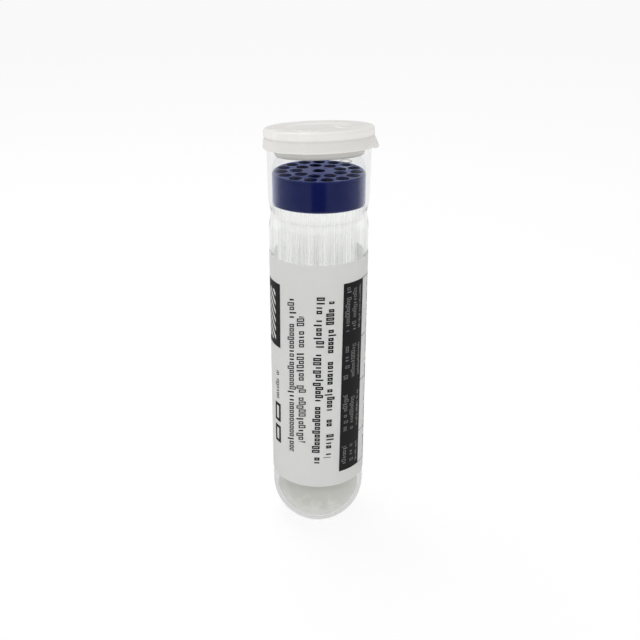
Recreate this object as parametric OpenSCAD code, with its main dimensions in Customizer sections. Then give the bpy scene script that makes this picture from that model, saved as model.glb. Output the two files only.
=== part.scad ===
// Snap-cap glass vial that stores thin-walled glass capillary tubes. The tubes hang by their funnels
// in a perforated plastic disc, and the disc rests on the waist pressed into the vial.
// Millimetres, +Z up, origin at the centre of the vial's flat foot.

/* [Vial] */
// Outside diameter of the tube below the waist
vial_d = 25; // [24:0.5:30]
// Height of the mouth above the foot
vial_h = 106.8; // [104:0.2:120]
// Thickness of the glass
wall = 0.9; // [0.7:0.1:1.1]
// Diameter of the flat that the vial stands on
foot_d = 12; // [8:0.5:14]
// Radius of the blend from the flat foot into the domed base
foot_blend = 2.5; // [2:0.25:3.5]
// How much wider the head above the waist is than the tube, on the radius
head_step = 0.1; // [0:0.05:0.4]
// How much the head opens up to its mouth, on the radius
mouth_flare = 0.2; // [0:0.05:0.4]

/* [Waist] */
// Distance from the mouth down to the narrowest part of the waist
waist_down = 18.2; // [17:0.2:21]
// Length of tube that the waist draws in
waist_len = 7.2; // [5:0.2:9]
// How far the waist is drawn in, on the radius
waist_depth = 0.42; // [0.3:0.02:0.7]

/* [Perforated disc] */
// Thickness of the disc
disc_h = 7.5; // [5:0.1:8]
// Space between the disc and the glass of the head, on the radius
disc_gap = 0.1; // [0.06:0.02:0.2]
// Bevel on the top edge of the disc
disc_bevel = 0.25; // [0.1:0.05:0.5]
// Diameter of each hole at the top of the disc
hole_top_d = 3.2; // [2.9:0.1:3.5]
// Diameter of each hole at the bottom of the disc
hole_low_d = 2.6; // [2.3:0.1:2.8]
// Number of holes in the inner ring, round the one in the middle
inner_n = 9; // [5:1:9]
// Number of holes in the outer ring
outer_n = 15; // [10:1:15]
// Turn of the inner ring about the axis
inner_turn = 19; // [0:1:40]
// Turn of the outer ring about the axis
outer_turn = 90; // [0:1:90]
// Plastic left between the outer ring's holes and the rim of the disc
rim_web = 0.7; // [0.3:0.05:0.8]
// Distance between the two rings of holes, on the radius
ring_gap = 3.75; // [3.6:0.05:4.2]

/* [Capillary tubes] */
// Length of a capillary tube with its funnel
tube_l = 80; // [76:1:82]
// Outside diameter of a capillary tube
tube_d = 2; // [1:0.1:2.2]
// Thickness of the glass of a capillary tube
tube_wall = 0.15; // [0.12:0.01:0.2]
// Length over which the funnel narrows to the tube below the disc
funnel_neck = 3; // [2:0.5:6]
// How deep the top of a funnel lies in its hole
funnel_sink = 0.2; // [0.1:0.1:1]
// Space between a funnel and its hole, on the radius
funnel_fit = 0.04; // [0.02:0.01:0.08]
// Tube that has worked up out of its hole, counted as in the nodes' names
proud_tube = 24; // [1:1:25]
// How far that tube has come up
proud_by = 1.2; // [0:0.1:2]

/* [Snap cap] */
// Height of the cap's rim above the mouth it rests on
cap_rim_h = 1.75; // [1.4:0.05:2.2]
// Thickness of the plate inside the rim
cap_plate = 1; // [0.7:0.05:1.2]
// Diameter of the shallow dish in the top
dish_d = 17.5; // [12:0.5:19]
// Depth of the dish
dish_depth = 0.4; // [0.2:0.05:0.5]
// Space between the skirt and the mouth, on the radius
skirt_gap = 0.3; // [0.2:0.05:0.5]
// Thickness of the skirt
skirt_wall = 0.4; // [0.35:0.05:0.8]
// Depth of the skirt below the mouth
skirt_h = 3.2; // [2.6:0.1:4]
// How much the skirt flares out to its lower edge, on the radius
skirt_flare = 0.3; // [0.1:0.05:0.6]
// How far the rim stands out past the top of the skirt
rim_step = 0.05; // [0:0.05:0.2]
// Depth of the groove between the rim and the skirt
groove = 0.15; // [0.05:0.05:0.2]
// Depth of the plug below the mouth
plug_h = 4.9; // [4:0.1:6]
// Thickness of the plug
plug_wall = 0.8; // [0.6:0.05:1]
// Space between the widest part of the plug and the bore, on the radius
plug_gap = 0.35; // [0.3:0.05:0.5]
// How much the plug narrows to its lower edge, on the radius
plug_taper = 0.6; // [0.3:0.05:0.8]
// Width of the lift tab
tab_w = 7; // [4:0.5:12]
// How far the lift tab stands out of the skirt
tab_out = 0.7; // [0.4:0.1:1.5]
// How far the lift tab hangs below the skirt
tab_drop = 0.5; // [0:0.1:0.8]
// Lean of the cap where one side hasn't snapped home
cap_lean = 5; // [0:0.1:5]
// Side on which the cap has risen, counted from +X towards +Y
cap_lean_side = -69; // [-180:1:180]

/* [Label] */
// Height of the label's lower edge above the foot
label_z = 14.9; // [14.5:0.1:18]
// Height of the label
label_h = 63.5; // [40:0.5:65]
// Thickness of the label
label_t = 0.1; // [0.08:0.01:0.15]
// Where the label starts, counted from +X towards +Y
label_start = -201; // [-220:1:-180]
// Angle that the label goes round the vial
label_turn = 231.6; // [180:0.1:300]

/* [Cotton pad] */
// Height of the pad's widest part above the foot
pad_wide_z = 9.5; // [6:0.5:10]
// Space between the pad and the glass
pad_gap = 0.2; // [0.1:0.05:0.4]
// Space between the pad and the tips of the capillary tubes
tip_gap = 1.5; // [0.5:0.5:5]

/* [Hidden] */
$fn = 96;

// Steps in each rounded stretch of an outline
arc_steps = 10;
// Steps along the waist
waist_steps = 24;
// Steps along the neck of a capillary tube
neck_steps = 6;
// Width of the line of glue under the label
glue_t = 0.02;
// Space left where the disc and the cap rest on the glass
seat_gap = 0.03;
// Radius of the top edge of the cap's rim
rim_round = 0.8;
// Share of the skirt's lower edge that its round outer corner takes up
skirt_round = 0.8;
// Width of the slope round the dish
dish_slope = 1.6;
// Half the height of the groove, and the height of its middle, which lies below the mouth
groove_half = 0.25;
groove_z = -0.35;
// Height of the widest part of the plug
seal_h = 1.4;
// Height of the lift tab where it leaves the skirt
tab_h = 1.8;

vial_r = vial_d / 2;
foot_r = foot_d / 2;
head_r = vial_r + head_step;
mouth_r = head_r + mouth_flare;
bore_r = mouth_r - wall;
// The dome is a sphere that the foot's blend meets without a corner
dome_z = foot_blend + sqrt(pow(vial_r - foot_blend, 2) - pow(foot_r, 2));
dome_a = atan2(foot_blend - dome_z, foot_r);

waist_z = vial_h - waist_down;

// The disc sits where the waist's upper slope is as wide as the disc
disc_r = head_r - wall - disc_gap;
head_draw = waist_depth + head_step;
seat_t = acos(2 * (disc_gap - seat_gap) / head_draw - 1) / 180;
disc_z = waist_z + seat_t * waist_len / 2;
disc_top = disc_z + disc_h;
hole_top_r = hole_top_d / 2;
hole_low_r = hole_low_d / 2;
outer_r = disc_r - rim_web - hole_top_r;
inner_r = outer_r - ring_gap;

tube_n = 1 + inner_n + outer_n;
tube_r = tube_d / 2;
tube_top = disc_top - funnel_sink;
tip_z = tube_top - tube_l;

skirt_in = mouth_r + skirt_gap;
skirt_out = skirt_in + skirt_wall;
rim_r = skirt_out + rim_step;
skirt_low = skirt_out + skirt_flare;
plug_r = bore_r - plug_gap;
plug_low = plug_r - plug_taper;
plate_z = cap_rim_h - dish_depth - cap_plate;
tab_turn = tab_w / skirt_low * 180 / PI;
// Height of the cap's middle above the mouth, from the lip that its low side rests on
lip_r = wall / 2;
cap_rise = tan(cap_lean) * (mouth_r - lip_r) - lip_r + (lip_r + seat_gap) / cos(cap_lean);

pad_r = vial_r - wall - pad_gap;
pad_a = asin((pad_wide_z - dome_z) / pad_r);
pad_top = tip_z - tip_gap;

function tube_name(i) = str("capillary_tube_", i < 9 ? "0" : "", i + 1);

// Points on an arc from angle a to angle b, without the first one
function arc(x, z, r, a, b, n = arc_steps) =
    [for (i = [1:n]) let (t = a + (b - a) * i / n) [x + r * cos(t), z + r * sin(t)]];

function reversed(points) = [for (i = [len(points) - 1:-1:0]) points[i]];

// Outside radius of the waist, where t goes from -1 at its lower end to 1 at its upper end
function waist_r(t) = t < 0
    ? vial_r - waist_depth * (1 + cos(180 * t)) / 2
    : head_r - head_draw * (1 + cos(180 * t)) / 2;

// The flat foot and the dome, o inside the outer face of the glass, up to the dome's angle a
function base_line(o, a) = concat(
    [[0, o], [foot_r, o]],
    arc(foot_r, foot_blend, foot_blend - o, -90, dome_a),
    arc(0, dome_z, vial_r - o, dome_a, a));

// The whole outline of the vial, o inside the outer face of the glass, up to the lip
function vial_line(o) = concat(
    base_line(o, 0),
    [for (i = [0:waist_steps]) let (t = 2 * i / waist_steps - 1)
        [waist_r(t) - o, waist_z + t * waist_len / 2]],
    [[mouth_r - o, vial_h - lip_r]]);

function hole_r(z) = hole_low_r + (hole_top_r - hole_low_r) * (z - disc_z) / disc_h;

// Outside radius of a capillary tube's neck, where t goes from 0 at the tube to 1 at the funnel
function neck_r(t) = tube_r + (hole_low_r - funnel_fit - tube_r) * (1 - cos(180 * t)) / 2;

// The outline of a capillary tube, o inside the outer face of the glass
function tube_line(o) = concat(
    [[0, tip_z + o]],
    arc(0, tip_z + tube_r, tube_r - o, -90, 0),
    [for (i = [0:neck_steps]) let (t = i / neck_steps)
        [neck_r(t) - o, disc_z - funnel_neck * (1 - t)]],
    [[hole_r(tube_top) - funnel_fit - o, tube_top]]);

// Middle of hole i: the first is on the axis, then come the inner and the outer ring
function hole_xy(i) =
    i == 0 ? [0, 0] :
    i <= inner_n ? ring_xy(inner_r, inner_turn + (i - 1) * 360 / inner_n) :
    ring_xy(outer_r, outer_turn + (i - 1 - inner_n) * 360 / outer_n);

function ring_xy(r, a) = [r * cos(a), r * sin(a)];

// Blown glass vial: flat foot, domed base, waist and a head with a fire-polished lip
module vial() {
    color([0.86, 0.9, 0.88, 0.35])
        rotate_extrude()
            polygon(concat(
                vial_line(0),
                arc(mouth_r - lip_r, vial_h - lip_r, lip_r, 0, 180 - 180 / arc_steps, arc_steps - 1),
                reversed(vial_line(wall))));
}

// Moulded disc with one funnel-shaped hole for each capillary tube
module perforated_disc() {
    color([0.1, 0.12, 0.42])
        difference() {
            translate([0, 0, disc_z])
                rotate_extrude()
                    polygon([[0, 0], [disc_r, 0], [disc_r, disc_h - disc_bevel],
                             [disc_r - disc_bevel, disc_h], [0, disc_h]]);
            for (i = [0:tube_n - 1])
                translate(hole_xy(i)) {
                    translate([0, 0, disc_z])
                        cylinder(h = disc_h, r1 = hole_low_r, r2 = hole_top_r);
                    translate([0, 0, disc_z - 1])
                        cylinder(h = 1, r = hole_low_r);
                    translate([0, 0, disc_top])
                        cylinder(h = 1, r = hole_top_r);
                }
        }
}

// Thin glass tube with a round closed tip and an open funnel
module capillary_tube(i) {
    lift = i == proud_tube - 1 ? proud_by : 0;
    color([0.9, 0.93, 0.93, 0.35])
        translate(hole_xy(i))
            translate([0, 0, lift])
                rotate_extrude($fn = 32)
                    polygon(concat(tube_line(0), reversed(tube_line(tube_wall))));
}

// Half section of the cap, with z = 0 where it rests on the mouth
module cap_section() {
    edge = skirt_round * (skirt_low - skirt_in);
    tip = plug_wall / 2;
    polygon(concat(
        [[0, cap_rim_h - dish_depth],
         [dish_d / 2 - dish_slope, cap_rim_h - dish_depth],
         [dish_d / 2, cap_rim_h],
         [rim_r - rim_round, cap_rim_h]],
        arc(rim_r - rim_round, cap_rim_h - rim_round, rim_round, 90, 0, 4),
        [[rim_r, groove_z + groove_half],
         [rim_r - groove, groove_z],
         [skirt_out, groove_z - groove_half],
         [skirt_low, edge - skirt_h]],
        arc(skirt_low - edge, edge - skirt_h, edge, 0, -90),
        [[skirt_in, -skirt_h],
         [skirt_in, 0],
         [plug_r, 0],
         [plug_r, -seal_h],
         [plug_low, tip - plug_h]],
        arc(plug_low - tip, tip - plug_h, tip, 0, -180),
        [[plug_r - plug_wall, plate_z],
         [0, plate_z]]));
}

// Lip that a thumb pushes up to open the cap
module lift_tab() {
    rotate([0, 0, -tab_turn / 2])
        rotate_extrude(angle = tab_turn)
            polygon([[skirt_low - skirt_wall / 2, -skirt_h - tab_drop],
                     [skirt_low + tab_out, -skirt_h - tab_drop],
                     [skirt_low + tab_out, -skirt_h - tab_drop + tab_h / 4],
                     [skirt_low - skirt_wall / 2, -skirt_h + tab_h]]);
}

// Moulded polyethylene cap: a plug in the bore and a flared skirt over the mouth
module snap_cap() {
    color([0.87, 0.87, 0.85, 0.9])
        translate([0, 0, vial_h + cap_rise])
            rotate(-cap_lean, [-sin(cap_lean_side), cos(cap_lean_side), 0])
                union() {
                    rotate_extrude()
                        cap_section();
                    lift_tab();
                }
}

// Paper label stuck round the tube, open at the back
module label() {
    color([0.83, 0.83, 0.82])
        translate([0, 0, label_z])
            rotate([0, 0, label_start])
                rotate_extrude(angle = label_turn)
                    translate([vial_r + glue_t, 0])
                        square([label_t, label_h]);
}

// Bun of cotton wool in the domed base, under the tips of the tubes
module cotton_pad() {
    o = wall + pad_gap;
    wide = pad_r * cos(pad_a);
    color([0.78, 0.77, 0.75])
        rotate_extrude()
            polygon(concat(
                base_line(o, pad_a),
                [for (i = [1:arc_steps]) let (t = 90 * i / arc_steps)
                    [wide * cos(t), pad_wide_z + (pad_top - pad_wide_z) * sin(t)]]));
}

vial();
snap_cap();
perforated_disc();
label();
cotton_pad();
for (i = [0:tube_n - 1]) capillary_tube(i);
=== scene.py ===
import math
import bpy
from mathutils import Matrix, Vector, noise


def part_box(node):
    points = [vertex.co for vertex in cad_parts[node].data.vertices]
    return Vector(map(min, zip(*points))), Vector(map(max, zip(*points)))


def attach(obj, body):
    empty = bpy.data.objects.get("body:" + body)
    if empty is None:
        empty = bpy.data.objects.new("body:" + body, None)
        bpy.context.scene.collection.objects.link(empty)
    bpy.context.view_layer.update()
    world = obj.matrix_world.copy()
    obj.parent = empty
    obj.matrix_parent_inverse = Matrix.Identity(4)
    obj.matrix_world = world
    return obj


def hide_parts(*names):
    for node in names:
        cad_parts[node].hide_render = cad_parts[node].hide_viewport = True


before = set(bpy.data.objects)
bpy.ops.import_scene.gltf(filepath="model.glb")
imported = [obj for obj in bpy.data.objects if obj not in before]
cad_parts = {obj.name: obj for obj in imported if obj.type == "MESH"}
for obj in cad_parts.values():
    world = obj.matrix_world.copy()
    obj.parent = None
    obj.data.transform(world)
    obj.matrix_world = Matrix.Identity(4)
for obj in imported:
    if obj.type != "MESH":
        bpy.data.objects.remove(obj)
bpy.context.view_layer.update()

# ---------------------------------------------------------------------------------------------------
# Vial
# One piece of clear soda-lime tube, blown round over a small flat foot, rolled in to a waist near the mouth,
# and flame-polished at the lip. Just below the waist the glass has a faint ring of painted shade. It stands
# by itself and carries all the other pieces.

MM = 0.001
vial_r = 12.5
wall = 0.9
foot_r = 6
foot_blend = 2.5
head_r = vial_r + 0.1
mouth_r = head_r + 0.2
vial_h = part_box("vial")[1].z / MM
waist_z = vial_h - 18.2
waist_len = 7.2
waist_depth = 0.42
# Where the faint ring of painted shade below the waist lies, and how wide it is, in millimetres.
ring_z = waist_z - 0.4
ring_half = 0.35
lip_r = wall / 2
vial_turns = 192
near_end = 0.15
long_run = 1
dome_z = foot_blend + math.sqrt((vial_r - foot_blend) ** 2 - foot_r**2)
dome_angle = math.degrees(math.atan2(foot_blend - dome_z, foot_r))
clear = (0.97, 0.975, 0.972, 1)
painted_ring_shade = (0.9, 0.9, 0.895, 1)
blown_share = 0.6
scene = bpy.context.scene


class Wire:
    """A value in a finish. Arithmetic on it adds the Math nodes that work it out."""

    def __init__(self, finish, socket):
        self.finish = finish
        self.socket = socket

    def out(self, name):
        """Another output of the same node."""
        return Wire(self.finish, self.socket.node.outputs[name])

    def axis(self, name):
        """The X, Y or Z of this vector."""
        return self.finish.add("ShaderNodeSeparateXYZ", {}, {"Vector": self}).out(name)

    def __add__(self, other):
        return self.finish.math("ADD", self, other)

    __radd__ = __add__

    def __mul__(self, other):
        return self.finish.math("MULTIPLY", self, other)

    __rmul__ = __mul__

    def __sub__(self, other):
        return self.finish.math("SUBTRACT", self, other)

    def __rsub__(self, other):
        return self.finish.math("SUBTRACT", other, self)

    def __truediv__(self, other):
        return self.finish.math("DIVIDE", self, other)

    def __rtruediv__(self, other):
        return self.finish.math("DIVIDE", other, self)

    def __gt__(self, other):
        return self.finish.math("GREATER_THAN", self, other)

    def __lt__(self, other):
        return self.finish.math("LESS_THAN", self, other)


class Finish:
    """The nodes of a material or of the world."""

    def __init__(self, owner):
        owner.use_nodes = True
        self.owner = owner
        self.tree = owner.node_tree
        self.tree.nodes.clear()

    def add(self, kind, settings=None, sockets=None):
        """Adds a node, makes its settings, then gives its sockets their values or links."""
        node = self.tree.nodes.new(kind)
        for name, value in (settings or {}).items():
            if name == "stops":
                for stop in value[2:]:
                    node.color_ramp.elements.new(stop[0])
                for element, stop in zip(node.color_ramp.elements, value):
                    element.position, element.color = stop
            else:
                setattr(node, name, value)
        for name, value in (sockets or {}).items():
            if isinstance(value, Wire):
                self.tree.links.new(value.socket, node.inputs[name])
            else:
                node.inputs[name].default_value = value
        return Wire(self, node.outputs[0] if node.outputs else None)

    def math(self, operation, *values):
        """A Math node on one value or more."""
        return self.add("ShaderNodeMath", {"operation": operation}, dict(enumerate(values)))

    def place(self):
        """Where a point of the surface lies on its piece, in metres."""
        return self.add("ShaderNodeTexCoord").out("Object")


def new_finish(name):
    return Finish(bpy.data.materials.new(name))


def cloud(finish, place, scale, detail, distortion=0):
    """Soft random values round 0.5, which change faster over the surface where scale is higher."""
    sockets = {"Vector": place, "Scale": scale, "Detail": detail, "Distortion": distortion}
    return finish.add("ShaderNodeTexNoise", {}, sockets)


def bump(finish, height, strength, depth):
    """A normal for a surface whose relief is depth metres deep."""
    sockets = {"Strength": strength, "Distance": depth, "Height": height}
    return finish.add("ShaderNodeBump", {}, sockets)


def mix(finish, share, first, second):
    """A colour that is first where share is 0, and second where it is 1. A Mix node has its sockets for
    numbers, vectors and colours under the same names, so those for colours go by their numbers."""
    sockets = {0: share, 6: first, 7: second}
    return finish.add("ShaderNodeMix", {"data_type": "RGBA"}, sockets).out(2)


def arc(x, z, radius, start, end, steps):
    """Points on an arc from one angle to another, without the first one."""
    angles = [math.radians(start + (end - start) * i / steps) for i in range(1, steps + 1)]
    return [(x + radius * math.cos(a), z + radius * math.sin(a)) for a in angles]


def held(outline):
    """The outline with a point near both ends of each long straight run. Smooth shading then keeps the
    run flat, so that what is seen through the glass stays in its place."""
    points = outline[:1]
    for start, end in zip(outline, outline[1:]):
        length = math.dist(start, end)
        if length > long_run:
            for t in (near_end / length, 1 - near_end / length):
                points.append((start[0] + (end[0] - start[0]) * t, start[1] + (end[1] - start[1]) * t))
        points.append(end)
    return points


def spin(name, outlines):
    """A closed solid round the axis, with one outline for each step of the turn, in millimetres.
    An outline starts and ends on the axis, and the solid lies on its left side."""
    outlines = [held(outline) for outline in outlines]
    turns = len(outlines)
    rings = len(outlines[0]) - 2
    points = [(0, 0, outlines[0][0][1] * MM)]
    for i in range(1, rings + 1):
        for turn, outline in enumerate(outlines):
            angle = math.tau * turn / turns
            r, z = outline[i]
            points.append((r * MM * math.cos(angle), r * MM * math.sin(angle), z * MM))
    points.append((0, 0, outlines[0][-1][1] * MM))
    last = len(points) - 1
    faces = []
    for turn in range(turns):
        after = (turn + 1) % turns
        faces.append((0, 1 + after, 1 + turn))
        for i in range(rings - 1):
            low = 1 + i * turns
            high = low + turns
            faces.append((low + turn, low + after, high + after, high + turn))
        faces.append((last, last - turns + turn, last - turns + after))
    mesh = bpy.data.meshes.new(name)
    mesh.from_pydata(points, [], faces)
    mesh.shade_smooth()
    piece = bpy.data.objects.new(name, mesh)
    scene.collection.objects.link(piece)
    return piece


def waist_r(t):
    """Outside radius of the waist, where t goes from -1 at its lower end to 1 at its upper end."""
    draw = (1 + math.cos(math.pi * t)) / 2
    return vial_r - waist_depth * draw if t < 0 else head_r - (waist_depth + head_r - vial_r) * draw


def vial_line(inset):
    """The vial's outline, inset from the outer face of the glass, from the foot up to the lip."""
    steps = 32
    waist = [(waist_r(t), waist_z + t * waist_len / 2) for t in (2 * i / steps - 1 for i in range(steps + 1))]
    return (
        [(0, inset), (foot_r / 2, inset), (foot_r, inset)]
        + arc(foot_r, foot_blend, foot_blend - inset, -90, dome_angle, steps=12)
        + arc(0, dome_z, vial_r - inset, dome_angle, 0, steps=32)
        + [(r - inset, z) for r, z in waist]
        + [(mouth_r - inset, vial_h - lip_r)]
    )


glass = new_finish("vial_glass")
place = glass.place()
drawn = glass.add("ShaderNodeMapping", {}, {"Vector": place, "Scale": (1, 1, 0.03)})
streaks = cloud(glass, drawn, scale=260, detail=2)
blown = cloud(glass, place, scale=90, detail=1)
# Painted shade: a faint ring of darker glass colour just below the waist.
painted_ring = 1 - glass.math("ABSOLUTE", place.axis("Z") / MM - ring_z) / ring_half
glass_shader = glass.add(
    "ShaderNodeBsdfPrincipled",
    {},
    {
        "Base Color": mix(glass, glass.math("MAXIMUM", painted_ring, 0), clear, painted_ring_shade),
        "Roughness": 0.0,
        "IOR": 1.5,
        "Transmission Weight": 1.0,
        "Normal": bump(glass, streaks + blown * blown_share, strength=0.012, depth=0.00002),
    },
)
glass_body = glass.add("ShaderNodeVolumeAbsorption", {}, {"Color": (0.76, 0.79, 0.74, 1), "Density": 30})
glass.add("ShaderNodeOutputMaterial", {}, {"Surface": glass_shader, "Volume": glass_body})

lip = arc(mouth_r - lip_r, vial_h - lip_r, lip_r, 0, 180, steps=16)[:-1]
vial = spin("vial_glass", [vial_line(0) + lip + vial_line(wall)[::-1]] * vial_turns)
vial.data.materials.append(glass.owner)
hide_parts("vial")
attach(vial, "vial_body")

# ---------------------------------------------------------------------------------------------------
# Capillary tubes
# Thin drawn glass, sealed round at the tip and opened to a funnel at the top. Each one hangs by its
# funnel in a hole of the disc, and one of them has worked up a little.

tube_r = 1
tube_l = 80
tube_wall = 0.02
tube_turns = 48
funnel_neck = 3
funnel_sink = 0.2
funnel_fit = 0.04
hole_low_r = 1.3
hole_top_r = 1.6
disc_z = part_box("perforated_disc")[0].z / MM
disc_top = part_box("perforated_disc")[1].z / MM
funnel_top = disc_top - funnel_sink
funnel_low_r = hole_low_r - funnel_fit
funnel_r = hole_low_r + (hole_top_r - hole_low_r) * (funnel_top - disc_z) / (disc_top - disc_z) - funnel_fit


def tube_line(inset):
    """The tube's outline, inset from the outer face of the glass, with z = 0 at its tip."""
    steps = 16
    low = disc_z - funnel_neck - funnel_top + tube_l
    neck = []
    for i in range(steps + 1):
        spread = (1 - math.cos(math.pi * i / steps)) / 2
        neck.append((tube_r + (funnel_low_r - tube_r) * spread - inset, low + funnel_neck * i / steps))
    tip = arc(0, tube_r, tube_r - inset, -90, 0, steps=10)
    return [(0, inset)] + tip + neck + [(funnel_r - inset, tube_l)]


thin_glass = new_finish("tube_glass")
thin_shader = thin_glass.add(
    "ShaderNodeBsdfPrincipled",
    {},
    {
        "Base Color": (0.999, 0.999, 0.9965, 1),
        "Roughness": 0.06,
        "IOR": 1.47,
        "Transmission Weight": 1.0,
    },
)
thin_glass.add("ShaderNodeOutputMaterial", {}, {"Surface": thin_shader})
tube_names = [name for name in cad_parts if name.startswith("capillary_tube")]
for name in tube_names:
    low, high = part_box(name)
    tube = spin(name + "_glass", [tube_line(0) + tube_line(tube_wall)[::-1]] * tube_turns)
    tube.data.transform(Matrix.Translation(((low.x + high.x) / 2, (low.y + high.y) / 2, low.z)))
    tube.data.materials.append(thin_glass.owner)
    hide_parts(name)
    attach(tube, "vial_body")

# ---------------------------------------------------------------------------------------------------
# Perforated disc
# Moulded in one shot from dark blue polystyrene, with a funnel-shaped hole for each tube. It drops in
# through the mouth and comes to rest where the waist draws the glass in.

deep_blue = (0.006, 0.009, 0.077, 1)
pale_blue = (0.0085, 0.0125, 0.097, 1)


def ramp(finish, share, *stops):
    """A colour that runs through the stops as share goes up. Each stop is a share and its colour."""
    return finish.add("ShaderNodeValToRGB", {"stops": stops}, {"Fac": share})


blue = new_finish("disc_plastic")
swirl = cloud(blue, blue.place(), scale=350, detail=4)
blue_shader = blue.add(
    "ShaderNodeBsdfPrincipled",
    {},
    {
        "Base Color": ramp(blue, swirl, (0.35, deep_blue), (0.7, pale_blue)),
        "Roughness": 0.16 + swirl * 0.1,
        "IOR": 1.46,
        "Specular IOR Level": 0.5,
        "Specular Tint": (0.2, 0.4, 1, 1),
        "Sheen Weight": 0.52,
        "Sheen Roughness": 0.35,
        "Sheen Tint": (0.08, 0.2, 1, 1),
        "Normal": bump(blue, swirl, strength=0.2, depth=0.00002),
    },
)
blue.add("ShaderNodeOutputMaterial", {}, {"Surface": blue_shader})
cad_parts["perforated_disc"].material_slots[0].material = blue.owner

# ---------------------------------------------------------------------------------------------------
# Cotton pad
# A pinch of bleached cotton wool, pressed into the dome to keep the tips of the tubes off the glass.
# It is loose, and holds its place by its own spring.

pad_gap = 0.2
pad_wide_z = 9.5
pad_turns = 160
lump_size = 2.2
lump_depth = 1.6
pad_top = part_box("cotton_pad")[1].z / MM
pad_r = vial_r - wall - pad_gap
pad_angle = math.degrees(math.asin((pad_wide_z - dome_z) / pad_r))
# The cotton's own white, and the same cotton with painted shade for the top of the pad.
pale_cotton = (0.91, 0.9, 0.865, 1)
painted_shade_cotton = (0.61, 0.603, 0.565, 1)
tuft_contrast = 1.9
fibre_share = 0.5


def crown_point(angle, t):
    """A point of the pad's lumpy crown, where t goes from 0 at its edge to a right angle in its middle."""
    r = pad_r * math.cos(math.radians(pad_angle)) * math.cos(t)
    z = pad_wide_z + (pad_top - pad_wide_z) * math.sin(t)
    lump = noise.noise(Vector((r * math.cos(angle), r * math.sin(angle), z)) / lump_size)
    return r, z - lump_depth * math.sin(t) * (0.5 + 0.5 * lump)


def pad_line(angle):
    """Half section of the pad at an angle round the axis. Below its crown it fills the dome."""
    inset = wall + pad_gap
    foot_steps = 8
    crown_steps = 48
    return (
        [(foot_r * i / foot_steps, inset) for i in range(foot_steps + 1)]
        + arc(foot_r, foot_blend, foot_blend - inset, -90, dome_angle, steps=6)
        + arc(0, dome_z, vial_r - inset, dome_angle, pad_angle, steps=24)
        + [crown_point(angle, math.pi / 2 * i / crown_steps) for i in range(1, crown_steps + 1)]
    )


cotton = new_finish("cotton")
place = cotton.place()
tuft = cloud(cotton, place, scale=240, detail=6, distortion=1.5)
fibre = cloud(cotton, place, scale=2600, detail=4, distortion=3)
# Painted shade: the cotton is coloured darker towards the top of the pad, where the label shades it. The
# tufts add random tone.
painted_shade_and_tufts = place.axis("Z") / (pad_wide_z * MM) + tuft_contrast * (tuft - 0.5)
cotton_shader = cotton.add(
    "ShaderNodeBsdfPrincipled",
    {},
    {
        "Base Color": ramp(cotton, painted_shade_and_tufts, (0, pale_cotton), (1, painted_shade_cotton)),
        "Roughness": 0.95,
        "Sheen Weight": 0.8,
        "Sheen Roughness": 0.45,
        "Normal": bump(cotton, tuft + fibre * fibre_share, strength=0.7, depth=0.0004),
    },
)
cotton.add("ShaderNodeOutputMaterial", {}, {"Surface": cotton_shader})
pad = spin("cotton_wool", [pad_line(math.tau * turn / pad_turns) for turn in range(pad_turns)])
pad.data.materials.append(cotton.owner)
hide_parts("cotton_pad")
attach(pad, "vial_body")

# ---------------------------------------------------------------------------------------------------
# Snap cap
# Moulded from milky polyethylene: a tapered plug goes in the bore, a flared skirt grips the outside of
# the lip, and a small tab lets a thumb push it off. One side of it hasn't quite snapped home.

cap_rim_h = 1.75
cap_plate = 1
dish_r = 8.75
dish_depth = 0.4
dish_slope = 1.6
dish_toe = 0.03
dish_brow = 0.06
brow_half = 0.2
flat_end = 0.6
cap_top = cap_rim_h - dish_depth
skirt_in = mouth_r + 0.3
skirt_wall = 0.4
skirt_out = skirt_in + skirt_wall
skirt_low = skirt_out + 0.3
skirt_h = 3.2
skirt_edge = 0.8 * (skirt_low - skirt_in)
skirt_bevel = 0.1
rim_r = skirt_out + 0.05
rim_round = 0.8
groove = 0.15
groove_z = -0.35
groove_half = 0.25
groove_bed = 0.08
groove_heel = 0.06
heel_half = 0.05
plug_r = mouth_r - wall - 0.35
plug_low = plug_r - 0.6
plug_h = 4.9
plug_wall = 0.8
seal_h = 1.4
tab_out = 0.7
tab_drop = 0.5
tab_half = 16
lean = math.radians(5)
lean_side = math.radians(-69)
seat_gap = 0.03
cap_rise = math.tan(lean) * (mouth_r - lip_r) - lip_r + (lip_r + seat_gap) / math.cos(lean)
cap_turns = 240
# Painted shade in the groove under the rim and at the foot of the plug: its reach, strength and colour.
groove_fade = 0.45
groove_painted_shade = 0.32
tip_fade = 0.8
deep_milk = (0.89, 0.882, 0.865, 1)
pale_milk = (0.93, 0.922, 0.905, 1)
painted_shade_tint = (0.42, 0.415, 0.41, 1)
cap_through = 0.5
shadow_stops = 0.4


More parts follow.
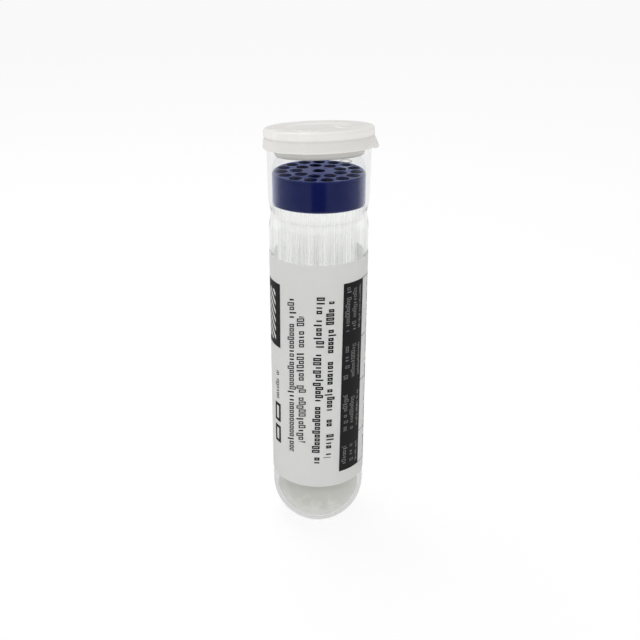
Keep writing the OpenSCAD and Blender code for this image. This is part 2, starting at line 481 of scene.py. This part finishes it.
def cap_line(out):
    """Half section of the cap, from the top of the dish round to the ceiling of the plug, with z = 0
    where the cap rests on the lip. The skirt's lower edge stands out by that much more at the tab."""
    tip = plug_wall / 2
    low = skirt_low + out
    low_z = skirt_edge - skirt_h - tab_drop * out / tab_out
    dish = [
        (0, cap_top),
        (dish_r - dish_slope - flat_end, cap_top),
        (dish_r - dish_slope, cap_top + dish_toe),
        (dish_r - brow_half, cap_rim_h - dish_brow),
        (dish_r + brow_half, cap_rim_h),
    ]
    rim = [(rim_r - rim_round - flat_end, cap_rim_h), (rim_r - rim_round, cap_rim_h)]
    rim += arc(rim_r - rim_round, cap_rim_h - rim_round, rim_round, 90, 0, steps=8)
    channel = [
        (rim_r, groove_z + groove_half),
        (rim_r - groove * 0.8, groove_z + groove_bed),
        (rim_r - groove, groove_z),
        (rim_r - groove * 0.7, groove_z - groove_bed),
        (skirt_out - groove_heel, groove_z - groove_half + heel_half),
        (skirt_out, groove_z - groove_half - heel_half),
    ]
    skirt = [(low, low_z)] + arc(low - skirt_edge, low_z, skirt_edge, 0, -90, steps=12)
    skirt += [(skirt_in + skirt_bevel, -skirt_h), (skirt_in, skirt_bevel - skirt_h), (skirt_in, 0)]
    plug = [(plug_r, 0), (plug_r, -seal_h), (plug_low, tip - plug_h)]
    plug += arc(plug_low - tip, tip - plug_h, tip, 0, -180, steps=12)
    plug += [(plug_r - plug_wall, cap_top - cap_plate), (0, cap_top - cap_plate)]
    return (dish + rim + channel + skirt + plug)[::-1]


def tab(turn):
    """How far the tab stands out at a step of the turn: full in its middle, nothing past its ends."""
    angle = (turn * 360 / cap_turns + 180) % 360 - 180
    return tab_out * max(0, math.cos(math.radians(90 * min(1, abs(angle) / tab_half)))) ** 0.5


def see_through(finish, share, shader, color):
    """A shader that lets a share of the light through, in a colour. Its sockets go by their numbers,
    because a Mix Shader has both of its shaders under the same name."""
    through = finish.add("ShaderNodeBsdfTranslucent", {}, {"Color": color})
    return finish.add("ShaderNodeMixShader", {}, {0: share, 1: shader, 2: through})


tilt = Matrix.Rotation(-lean, 4, Vector((-math.sin(lean_side), math.cos(lean_side), 0)))
seat = Matrix.Translation((0, 0, (vial_h + cap_rise) * MM)) @ tilt
cap_axis = seat.to_3x3() @ Vector((0, 0, 1))

milky = new_finish("cap_plastic")
place = milky.place()
rise = milky.add("ShaderNodeVectorMath", {"operation": "DOT_PRODUCT"}, {0: place, 1: cap_axis}).out("Value")
up = (rise - seat.translation.dot(cap_axis)) / MM
# Painted shade: the colour goes darker, and lets less light through, in the groove under the rim and towards
# the foot of the plug, where shade falls.
in_groove = 1 - milky.math("ABSOLUTE", up - groove_z) / groove_fade
near_tip = 1 - (up + plug_h) / tip_fade
painted_shade = milky.math("MAXIMUM", in_groove, 0) * groove_painted_shade + milky.math("MAXIMUM", near_tip, 0)
painted_shade = milky.math("MINIMUM", painted_shade, 1)
haze = cloud(milky, place, scale=160, detail=5)
milky_tint = ramp(milky, haze, (0.3, deep_milk), (0.7, pale_milk))
milky_shader = milky.add(
    "ShaderNodeBsdfPrincipled",
    {},
    {
        "Base Color": mix(milky, painted_shade, milky_tint, painted_shade_tint),
        "Roughness": 0.2 + haze * 0.12,
        "IOR": 1.51,
        "Normal": bump(milky, haze, strength=0.2, depth=0.00005),
    },
)
through = cap_through - shadow_stops * painted_shade
milky_body = see_through(milky, through, milky_shader, (0.91, 0.902, 0.885, 1))
milky.add("ShaderNodeOutputMaterial", {}, {"Surface": milky_body})
cap = spin("snap_cap_milky", [cap_line(tab(turn)) for turn in range(cap_turns)])
cap.data.set_sharp_from_angle(angle=math.radians(50))
cap.data.materials.append(milky.owner)
cap.data.transform(seat)
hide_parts("snap_cap")
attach(cap, "cap_body")

# ---------------------------------------------------------------------------------------------------
# Label
# Smooth self-adhesive paper, wrapped most of the way round the tube and put on a hair askew. It is
# printed in black: a nameplate field, rows of small print, and a table with a black heading column.

label_r = 12.62
label_mid = 46.65
askew = math.tan(math.radians(0.68))
black = (0.012, 0.012, 0.013, 1)
unprinted = (0.6, 0.6, 0.6, 1)

# A printed field is given by its left and right edge and its low and high end, in millimetres round the
# tube from its front and up from its foot. A row of print adds its pitch, stroke and slant.
nameplate = (-23.5, -11.3, 54, 71.7)
nameplate_stripes = (-18.5, -13.5, 55.5, 69.5)
stripe_pitch = 2.4
stripe_slant = 1.1
stripe_share = 0.42
print_rows = [
    (-8.6, -6.0, 24.8, 69.0, 1.18, 0.3, 0.2),
    (-5.8, -3.2, 28.4, 64.7, 1.18, 0.3, 0.2),
    (-1.4, 1.3, 22.1, 70.6, 1.18, 0.38, 0),
    (1.7, 4.4, 24.0, 69.0, 1.12, 0.38, 0),
    (-13.8, -11.6, 38.5, 47, 1.0, 0.22, 0.2),
    (16.7, 18, 20, 73, 0.8, 0.2, 0),
]
bold_boxes = [(-14.2, -11.4, 25.4, 30.6), (-14.2, -11.4, 31.9, 37.4)]
bold_stroke = 0.85
table_left = 13.3
table_right = 23
table_rules = [19.0, 29.0, 44.4, 57.1, 73.2]
rule_half = 0.08
heading_left = 6.2
heading_right = 13.4
heading_low = 19
heading_high = 73.2
heading_groups = [(20.5, 26.5), (31, 42), (46.5, 56), (60, 72)]
heading_rows = [(6.9, 8.7), (9.2, 11.0), (11.7, 12.7)]
heading_print_high = 73
heading_stroke = 0.18
heading_white = 0.23
heading_seed = 7
seed_step = 31.7
paper_through = 0.61

# A sign of the small print is a hollow box. Its sizes are shares of its pitch or of the row's width,
# and the other shares say how many signs are narrow, short, let down or left out.
sign_half = 0.4
narrow_by = 0.22
narrow_share = 0.3
short_by = 0.25
short_share = 0.7
raised_by = 0.24
let_down_share = 0.12
left_out_share = 0.13

paper = new_finish("label_paper")
place = paper.place()
around = paper.math("ARCTAN2", place.axis("X"), -1 * place.axis("Y")) * label_r
height = place.axis("Z") / MM - label_mid
across = around - askew * height
along = height + askew * around + label_mid


def field(left, right, low, high):
    """1 on a rectangle of the label, 0 off it."""
    return (across > left) * (across < right) * (along > low) * (along < high)


def chance(number):
    """A random value for each number."""
    return paper.add("ShaderNodeTexWhiteNoise", {"noise_dimensions": "1D"}, {"W": number}).out("Value")


def small_print(left, right, low, high, pitch, stroke, slant, seed):
    """A row of dummy print that runs up the label: hollow boxes of uneven height, with some gaps."""
    run = (along - slant * across) / pitch + seed * seed_step
    cell = paper.math("FLOOR", run)
    from_middle = paper.math("ABSOLUTE", run - cell - 0.5)
    down = (across - left) / (right - left)
    kind = chance(cell)
    spare = chance(cell + 0.5)
    half = sign_half - narrow_by * (spare < narrow_share)
    top = short_by * (kind < short_share)
    foot = 1 - raised_by * (kind > let_down_share)
    edge = stroke / (right - left)
    box = (from_middle < half) * (down > top) * (down < foot)
    hollow = (from_middle < half - stroke / pitch) * (down > top + edge) * (down < foot - edge)
    return field(left, right, low, high) * box * (1 - hollow) * (spare > left_out_share)


def bold_box(left, right, low, high):
    """A bold hollow box."""
    hollow = field(left + bold_stroke, right - bold_stroke, low + bold_stroke, high - bold_stroke)
    return field(left, right, low, high) * (1 - hollow)


ink = field(*nameplate) + field(heading_left, heading_right, heading_low, heading_high)
for seed, row in enumerate(print_rows):
    ink = ink + small_print(*row, seed)
for box in bold_boxes:
    ink = ink + bold_box(*box)
for rule in table_rules:
    ink = ink + field(table_left, table_right, rule - rule_half, rule + rule_half)
ink = paper.math("MINIMUM", ink, 1)

stripes = paper.math("FRACT", (along + stripe_slant * across) / stripe_pitch) < stripe_share
white = field(*nameplate_stripes) * stripes
groups = 0
for low, high in heading_groups:
    groups = groups + field(heading_left, heading_right, low, high)
for seed, (left, right) in enumerate(heading_rows, heading_seed):
    pitch = (right - left) / 2
    signs = small_print(left, right, heading_low, heading_print_high, pitch, heading_stroke, 0, seed)
    white = white + heading_white * groups * signs
white = paper.math("MINIMUM", white, 1)

grain = cloud(paper, place, scale=900, detail=5)
bare = mix(paper, grain, (0.8, 0.8, 0.795, 1), (0.86, 0.86, 0.855, 1))
inked = mix(paper, ink, bare, black)
paper_shader = paper.add(
    "ShaderNodeBsdfPrincipled",
    {},
    {
        "Base Color": mix(paper, white, inked, unprinted),
        "Roughness": 0.6 - 0.1 * ink,
        "Specular IOR Level": 0.11,
        "Normal": bump(paper, grain, strength=0.15, depth=0.00003),
    },
)
paper_body = see_through(paper, paper_through * (1 - ink), paper_shader, (0.83, 0.83, 0.825, 1))
paper.add("ShaderNodeOutputMaterial", {}, {"Surface": paper_body})
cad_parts["label"].material_slots[0].material = paper.owner

# ---------------------------------------------------------------------------------------------------
# Bench, light and camera
# A plain white bench under a pale studio sky, with four soft lamps. What the glass and the disc mirror
# is duller than what is seen past them, as in a room that is white only behind the vial.

bench_half = 3
bench_mesh = bpy.data.meshes.new("bench")
corners = [(-1, -1), (1, -1), (1, 1), (-1, 1)]
bench_mesh.from_pydata([(x * bench_half, y * bench_half, 0) for x, y in corners], [], [(0, 1, 2, 3)])
bench = bpy.data.objects.new("bench", bench_mesh)
scene.collection.objects.link(bench)


def seen(finish):
    """1 for a ray that comes from the camera or by way of glass or a reflection, 0 for the others."""
    path = finish.add("ShaderNodeLightPath")
    rays = path.out("Is Camera Ray") + path.out("Is Glossy Ray") + path.out("Is Transmission Ray")
    return finish.math("MINIMUM", rays, 1)


def mirrored(finish):
    """1 for a ray that has been mirrored just once and has gone through at most four faces, 0 for the
    others."""
    path = finish.add("ShaderNodeLightPath")
    turns = path.out("Glossy Depth")
    return (turns > 0.5) * (turns < 1.5) * (path.out("Transmission Depth") < 4.5)


def fade(finish, value, start, end):
    """0 below the start and 1 above the end, with a soft change between them."""
    settings = {"interpolation_type": "SMOOTHSTEP"}
    sockets = {"Value": value, "From Min": start, "From Max": end}
    return finish.add("ShaderNodeMapRange", settings, sockets)


def grey(level):
    return (level, level, level, 1)


backdrop_share = 0.86
near_level = 0.6
room_depth = 0.8
room_levels = [(0.25, 0.14), (0.42, 0.24), (0.57, 0.3), (0.66, 0.6), (0.8, 0.85)]
side_slopes = (0.2, 0.38)
far_radii = (0.12, 0.26)
just_ahead = 0.001
vial_reach = 0.05

# All the colours of the room's ramp are greys, so that what comes out of it is a plain number.
white_bench = new_finish("bench")
place = white_bench.place()
ahead = -1 * place.axis("Y")
room = ramp(white_bench, 0.5 - ahead / room_depth, *[(at, grey(level)) for at, level in room_levels])
sideways = white_bench.math("ABSOLUTE", place.axis("X")) / white_bench.math("MAXIMUM", ahead, just_ahead)
beside = fade(white_bench, sideways + (ahead < vial_reach), *side_slopes)
radius = white_bench.add("ShaderNodeVectorMath", {"operation": "LENGTH"}, {0: place}).out("Value")
far = fade(white_bench, radius, *far_radii)
one_turn = mirrored(white_bench)
level = 1 - one_turn * (1 - near_level + far * (near_level - room * beside))
share = seen(white_bench) * (backdrop_share + (1 - backdrop_share) * one_turn)
matt = white_bench.add("ShaderNodeBsdfDiffuse", {}, {"Color": grey(0.85)})
bright = white_bench.add("ShaderNodeEmission", {}, {"Color": level, "Strength": 1})
bench_top = white_bench.add("ShaderNodeMixShader", {}, {0: share, 1: matt, 2: bright})
white_bench.add("ShaderNodeOutputMaterial", {}, {"Surface": bench_top})
bench_mesh.materials.append(white_bench.owner)

sky_level = 0.74
mirror_level = 0.5
sky = Finish(bpy.data.worlds.new("studio"))
strength = sky_level + (1 - sky_level) * seen(sky) - (1 - mirror_level) * mirrored(sky)
background = sky.add("ShaderNodeBackground", {}, {"Color": grey(1), "Strength": strength})
sky.add("ShaderNodeOutputWorld", {}, {"Surface": background})
scene.world = sky.owner

vial_middle = Vector((0, 0, 0.055))


def lamp(name, place, size, power, glossy=False):
    """A square soft box that faces the vial. Glossy pieces mirror it, or not."""
    data = bpy.data.lights.new(name, "AREA")
    data.size = size
    data.energy = power
    box = bpy.data.objects.new(name, data)
    box.location = place
    box.rotation_euler = (vial_middle - Vector(place)).to_track_quat("-Z", "Y").to_euler()
    box.visible_camera = False
    box.visible_glossy = glossy
    box.visible_transmission = False
    scene.collection.objects.link(box)


lamp("lamp_left", (-0.45, -0.35, 0.14), size=0.4, power=0.7)
lamp("lamp_right", (0.48, -0.2, 0.25), size=0.4, power=0.5)
lamp("lamp_top", (-0.14, 0.2, 0.6), size=0.36, power=1.9, glossy=True)
lamp("lamp_low", (-0.02, -0.13, 0.01), size=0.06, power=0.03)

eye = Vector((0, -0.2128, 0.1511))
aim = Vector((0.0004, 0, 0.0587))
roll = math.radians(0.23)
camera_data = bpy.data.cameras.new("camera")
camera_data.lens = 49.39
camera_data.clip_start = 0.01
camera = bpy.data.objects.new("camera", camera_data)
look = (aim - eye).to_track_quat("-Z", "Y").to_matrix().to_4x4()
camera.matrix_world = Matrix.Translation(eye) @ look @ Matrix.Rotation(roll, 4, "Z")
scene.collection.objects.link(camera)

scene.camera = camera
scene.view_settings.view_transform = "Standard"
scene.cycles.max_bounces = 48
scene.cycles.diffuse_bounces = 12
scene.cycles.transmission_bounces = 48
scene.cycles.glossy_bounces = 8
scene.cycles.blur_glossy = 0
scene.cycles.sample_clamp_indirect = 1.5
